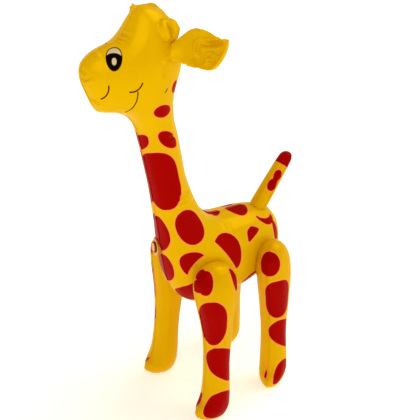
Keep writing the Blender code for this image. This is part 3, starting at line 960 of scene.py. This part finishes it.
earPlan = {
    "voxel": 1.4, "rounds": 14, "finWidth": 0.8, "waviness": 0.2,
    "sealed": (3, 0.8, 1.0),   # as on the legs, and how far the rim spreads out over the body
    "clear": 60,   # from this far in front of the leaf, its hollow side is found
    "pucker": {"spacing": 3.5, "reach": 4, "depth": 0.5, "straight": 0.2, "turning": 0.4, "radius": 20},
    "ears": {
        "ear_left": {"root": (19, -96, 528), "tip": (103, -69, 561), "dome": (-0.44, 0.36, 0.82)},
        "ear_right": {"root": (-12, -76, 539), "tip": (-101, -68, 560), "dome": (0.23, 0.43, 0.87)},
    },
    # on the hollow side, along the ear and across it in shares of its length: points, half width, depth
    "folds": [
        ([(0.53, 0.10), (0.485, 0.06), (0.47, 0.0), (0.48, -0.06), (0.51, -0.11)], 1.7, -1.8),
        ([(0.55, 0.07), (0.52, 0.03), (0.515, -0.03), (0.53, -0.08)], 2.2, 1.5),
        ([(0.52, 0.085), (0.60, 0.078), (0.70, 0.062), (0.82, 0.035), (0.93, 0.008)], 1.8, -1.0),
        ([(0.56, 0.04), (0.66, 0.025), (0.76, 0.005), (0.88, -0.015)], 2.6, 3.6),
        ([(0.645, -0.16), (0.665, -0.19), (0.69, -0.20)], 6.5, -4.6),
        ([(0.0, 0.09), (-0.01, 0.0), (0.0, -0.10), (0.03, -0.18)], 3.6, 4.6),
        ([(0.16, 0.12), (0.17, 0.0), (0.16, -0.10), (0.15, -0.16)], 2.0, 0.8),
        ([(0.60, -0.13), (0.62, -0.095), (0.66, -0.08), (0.70, -0.095), (0.75, -0.14)], 1.2, -1.4),
        ([(0.60, -0.175), (0.65, -0.185), (0.70, -0.175), (0.74, -0.155)], 1.1, -1.3),
        ([(0.60, -0.225), (0.65, -0.235), (0.71, -0.215)], 1.1, -1.2),
        ([(0.76, -0.13), (0.80, -0.165)], 1.1, -1.2),
    ],
    # where the leaf's film is loose: along, across, radius, fold size, depth
    "loose": (0.70, -0.15, 11, 9, 0.2),
}
hornPlan = {
    "voxel": 1.3, "rounds": 14, "root": (20, -104, 554), "tip": (32, -86, 563),
    "finWidth": 0.9, "waviness": 0.4, "sealed": (4, 0.5, 2.0),
    "pucker": {"spacing": 3, "reach": 3, "depth": 0.4, "straight": 0.2, "turning": 0.5, "radius": 12},
    # on the left horn, in the frame: points, half width, depth
    "folds": [
        ([(29, -63, 570), (33, -62, 565), (35, -60, 558), (34, -57, 551)], 2.6, 5.0),
        ([(29, -56, 570), (33, -54, 564), (33, -51, 557)], 1.6, -2.8),
    ],
}


def makeEar(name, ear, plan, seed):
    skin = inflatedSkin(name, plan)
    root, tip = (Vector(ear["root"]) + drawnAt) * mm, (Vector(ear["tip"]) + drawnAt) * mm
    along, length = (tip - root).normalized(), (tip - root).length
    normal = along.cross(Vector(ear["dome"])).normalized()
    across = normal.cross(along)
    front = -normal if normal.y > 0 else normal
    tree = treeOf(skin)

    def onLeaf(u, v):
        start = root + along * u * length + across * v * length + front * plan["clear"] * mm
        hit = tree.ray_cast(start, -front)[0]
        return (hit or start - front * plan["clear"] * mm) / mm

    seams = seamsOf(skin, name, root, normal)
    puckered(skin, seams, root, normal, plan["pucker"], seed)
    folds = [([onLeaf(u, v) for u, v in points], width, depth) for points, width, depth in plan["folds"]]
    stroked(skin, folds)
    u, v, radius, size, depth = plan["loose"]
    crumpled(skin, [(onLeaf(u, v), radius, size, depth)], seed)
    sealedOn(skin, bodyTree, *plan["sealed"])
    finished(name, skin, seams, bareFilm, bareFilm, "plain_film", plan, seed + 5)


def makeHorn(name, side, plan, seed):
    skin = inflatedSkin(name, plan)
    turned = Vector((side, 1, 1))
    root = (Vector(plan["root"]) * turned + drawnAt) * mm
    tip = (Vector(plan["tip"]) * turned + drawnAt) * mm
    normal = (tip - root).cross(Vector((0, 0, 1))).normalized()
    seams = seamsOf(skin, name, root, normal)
    puckered(skin, seams, root, normal, plan["pucker"], seed)
    middle = midX / mm
    folds = [([(middle + (x - middle) * side, y, z) for x, y, z in points], width, depth)
             for points, width, depth in plan["folds"]]
    stroked(skin, folds)
    sealedOn(skin, bodyTree, *plan["sealed"])
    finished(name, skin, seams, bareFilm, bareFilm, "plain_film", plan, seed + 5)


for number, (name, ear) in enumerate(earPlan["ears"].items()):
    makeEar(name, ear, earPlan, 300 + 20 * number)
makeHorn("horn_left", 1, hornPlan, 400)
makeHorn("horn_right", -1, hornPlan, 420)


# Valve

for name in ("valve_base", "valve_plug"):
    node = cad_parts[name]
    node.data.materials.clear()
    node.data.materials.append(valveVinyl)
print("valve dressed")


# Floor and light

studioPlan = {
    "air": "#FFD8A8", "airStrength": 0.5,
    "floor": {"colour": "#FBFBF9", "mottle": "#FAFAF8", "mottleSize": 30, "roughness": 0.8, "glow": 0.44,
              "size": 60},   # metres
    "backdrop": {"colour": "#FFFAF2", "strength": 0.85, "segments": 64, "radius": 12, "height": 6},   # metres
    "aim": (0, -60, 540),   # the softbox faces the head
    "lamps": {   # suns are as wide as the angle in degrees, the softbox as its side in millimetres
        "key": {"kind": "SUN", "from": (150, 1000, 1500), "width": 45, "power": 1.2, "colour": "#F4FFFF"},
        "softbox": {"kind": "AREA", "from": (330, -420, 1030), "width": 500, "power": 1.35,
                    "colour": "#F8FFFF"},
    },
}


def studioPaint(name, plan):
    # Opal light-table board, lit a little from below: matt and even, with a faint mottle
    material, tree, shader = newMaterial(name)
    shader.inputs["Roughness"].default_value = plan["roughness"]
    place = addNode(tree, "ShaderNodeTexCoord").outputs["Object"]
    mottle = noiseOf(tree, place, plan["mottleSize"])
    colour = blended(tree, mottle, linear(plan["colour"]), linear(plan["mottle"]))
    tree.links.new(colour, shader.inputs["Base Color"])
    shader.inputs["Emission Color"].default_value = linear("#FFFFFF")
    shader.inputs["Emission Strength"].default_value = plan["glow"]
    return material


def litCloth(name, plan):
    # White cloth, evenly lit from behind
    material, _, shader = newMaterial(name)
    shader.inputs["Base Color"].default_value = linear("#000000")
    shader.inputs["Specular IOR Level"].default_value = 0.0
    shader.inputs["Emission Color"].default_value = linear(plan["colour"])
    shader.inputs["Emission Strength"].default_value = plan["strength"]
    return material


def makeStudio(plan):
    work = bmesh.new()
    bmesh.ops.create_grid(work, x_segments=1, y_segments=1, size=plan["floor"]["size"])
    floor = addObject("floor", meshFrom("floor", work))
    floor.data.materials.append(studioPaint("opal white studio floor", plan["floor"]))
    work, cloth = bmesh.new(), plan["backdrop"]
    radius, height = cloth["radius"], cloth["height"]
    bmesh.ops.create_cone(work, segments=cloth["segments"], radius1=radius, radius2=radius, depth=height)
    bmesh.ops.translate(work, verts=work.verts[:], vec=(0, 0, height / 2))
    backdrop = addObject("backdrop", meshFrom("backdrop", work))
    backdrop.data.materials.append(litCloth("white cloth lit from behind", cloth))
    world = bpy.data.worlds.new("studio air")
    world.use_nodes = True
    air = world.node_tree.nodes["Background"]
    air.inputs["Color"].default_value = linear(plan["air"])
    air.inputs["Strength"].default_value = plan["airStrength"]
    bpy.context.scene.world = world
    for name, lamp in plan["lamps"].items():
        data = bpy.data.lights.new(name, lamp["kind"])
        target = Vector()
        if lamp["kind"] == "SUN":
            data.angle = math.radians(lamp["width"])
        else:
            data.size = lamp["width"] * mm
            target = Vector(plan["aim"]) * mm
        data.energy = lamp["power"]
        data.color = linear(lamp["colour"])[:3]
        light = bpy.data.objects.new(name, data)
        bpy.context.scene.collection.objects.link(light)
        light.location = Vector(lamp["from"]) * mm
        light.rotation_euler = (target - light.location).to_track_quat("-Z", "Y").to_euler()
    bpy.context.scene.view_settings.view_transform = "Standard"


makeStudio(studioPlan)
print("studio set")
